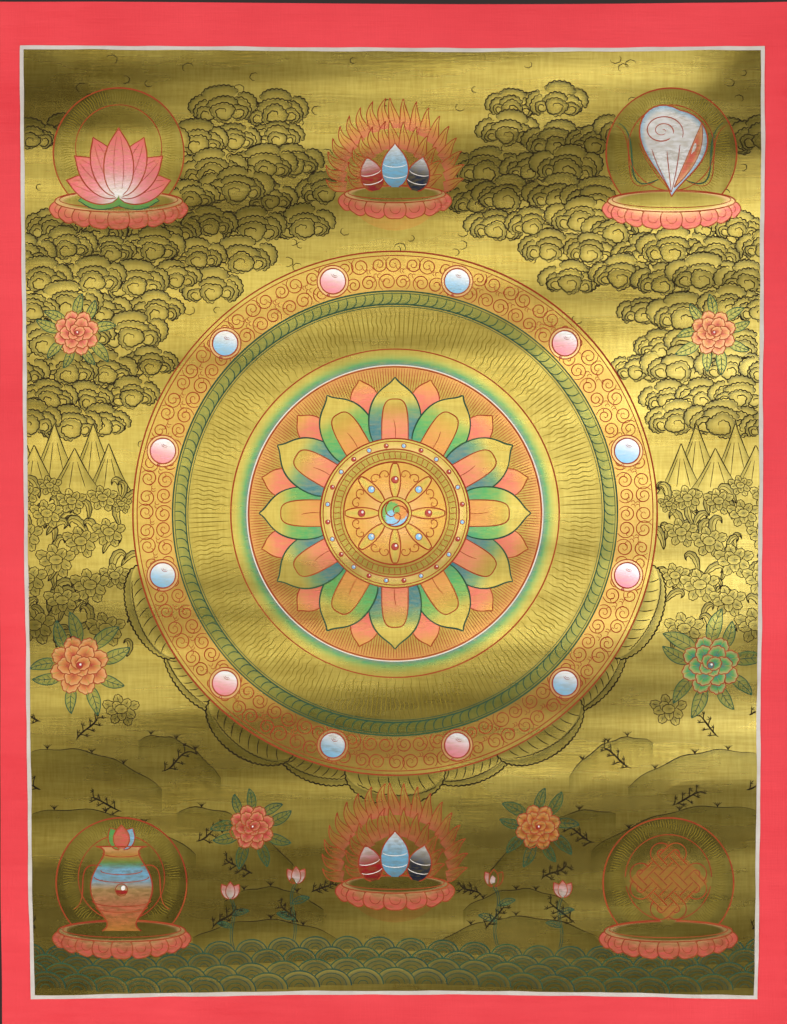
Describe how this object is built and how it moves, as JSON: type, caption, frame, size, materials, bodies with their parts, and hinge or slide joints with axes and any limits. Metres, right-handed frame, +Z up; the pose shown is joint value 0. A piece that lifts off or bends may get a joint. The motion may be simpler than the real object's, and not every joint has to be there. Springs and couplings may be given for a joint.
{
  "type": "unmounted thangka painting on canvas",
  "caption": "Painted cotton canvas with a red border, a pale ruled line and a gold picture field, hung flat to a wall by its corners.",
  "frame": {"origin": "on the wall plane, midway between the sheet's two top corners", "axes": "+X to the viewer's right along the top edge, +Z up, and the painted face looks along -Y, away from the wall"},
  "size_m": [0.51, 0.0089, 0.666],
  "materials": {
    "gold_ground": "burnished metallic gold paint on primed cotton, with fine brush and weave marks",
    "red_border": "satin red paint on primed cotton",
    "pale_line": "matt pale grey paint, ruled by hand",
    "bare_cotton": "unpainted plain weave cotton",
    "mineral_paints": null,
    "ink_lines": null
  },
  "bodies": {
    "root": {"painted_canvas": "gold_ground"}
  },
  "joints": []
}
